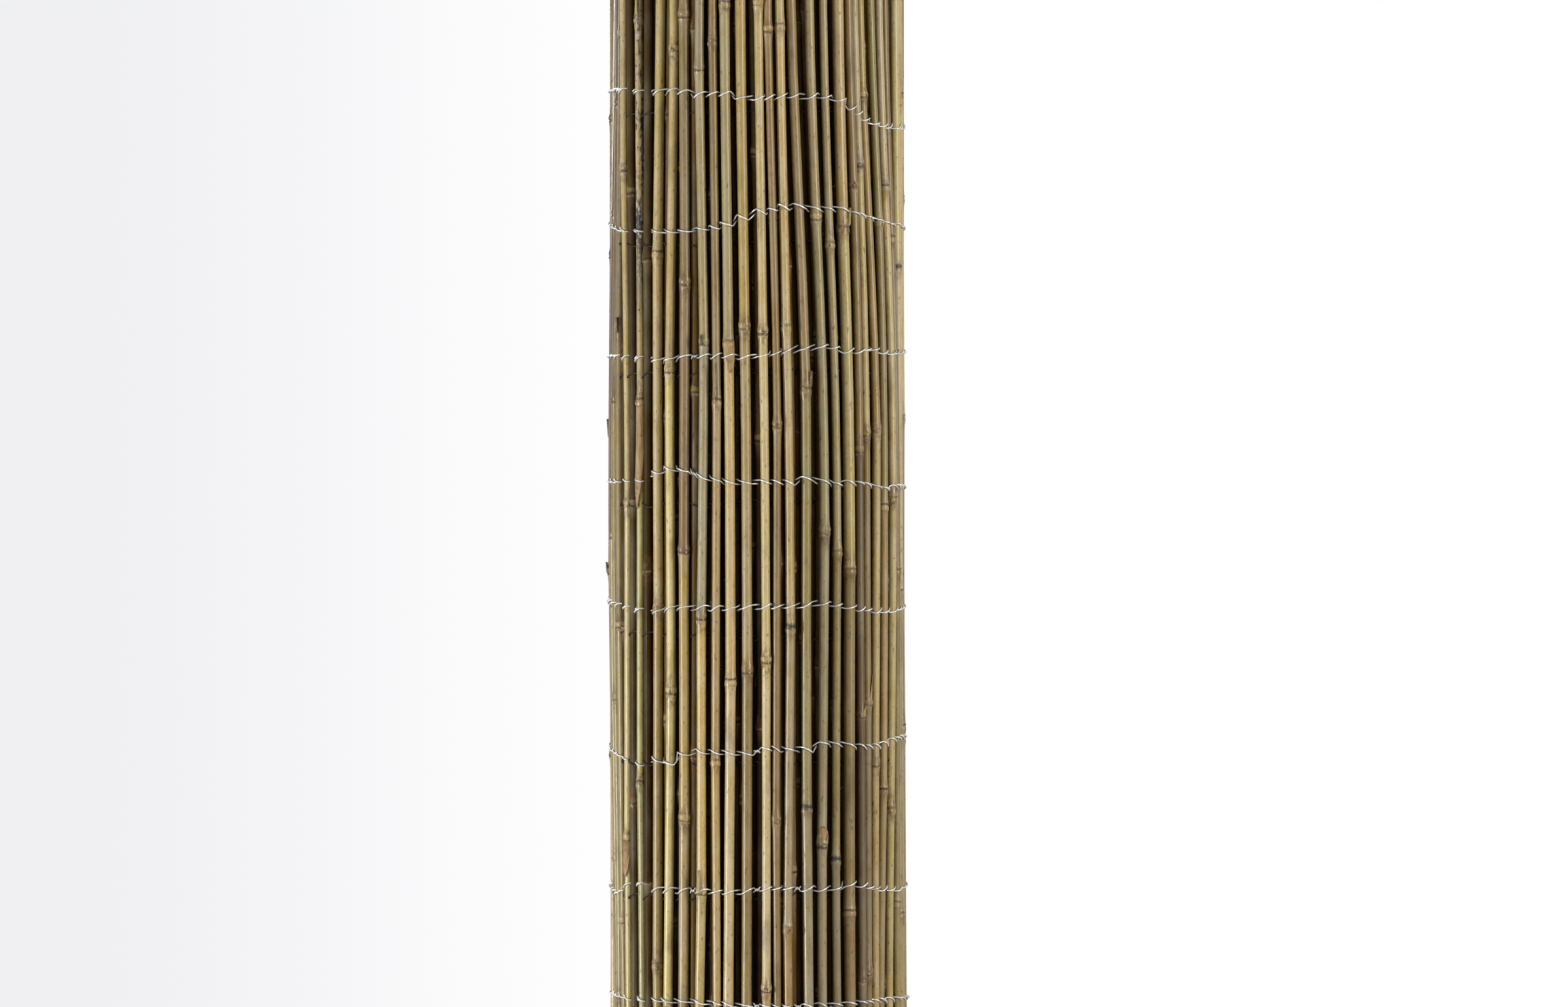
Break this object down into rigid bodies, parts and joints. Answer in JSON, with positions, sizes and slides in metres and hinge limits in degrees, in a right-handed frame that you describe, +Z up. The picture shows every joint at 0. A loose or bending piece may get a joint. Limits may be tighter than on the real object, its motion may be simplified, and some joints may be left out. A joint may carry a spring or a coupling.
{
  "type": "bamboo screening roll",
  "caption": "Roll of natural bamboo cane screening, tied with rows of galvanised wire and standing on its end.",
  "frame": {"origin": "on the floor, under the middle of the roll as it stands on its end", "axes": "+Z up along the canes; -Y towards the front of the roll that the picture shows; +X to the right"},
  "size_m": [0.2329, 0.2331, 1.8],
  "materials": {
    "bamboo": "dry natural cane, satin",
    "wire": "galvanised, dull"
  },
  "bodies": {
    "root": {"canes_turn_1": "bamboo", "canes_turn_2": "bamboo", "canes_turn_3": "bamboo", "canes_turn_4": "bamboo", "canes_turn_5": "bamboo", "canes_turn_6": "bamboo", "canes_turn_7": "bamboo", "wire_row_01": "wire", "wire_row_02": "wire", "wire_row_03": "wire", "wire_row_04": "wire", "wire_row_05": "wire", "wire_row_06": "wire", "wire_row_07": "wire", "wire_row_08": "wire", "wire_row_09": "wire", "wire_row_10": "wire", "wire_row_11": "wire", "wire_row_12": "wire", "wire_row_13": "wire", "wire_row_14": "wire", "wire_row_15": "wire", "wire_row_16": "wire", "wire_row_17": "wire", "wire_row_18": "wire"}
  },
  "joints": []
}
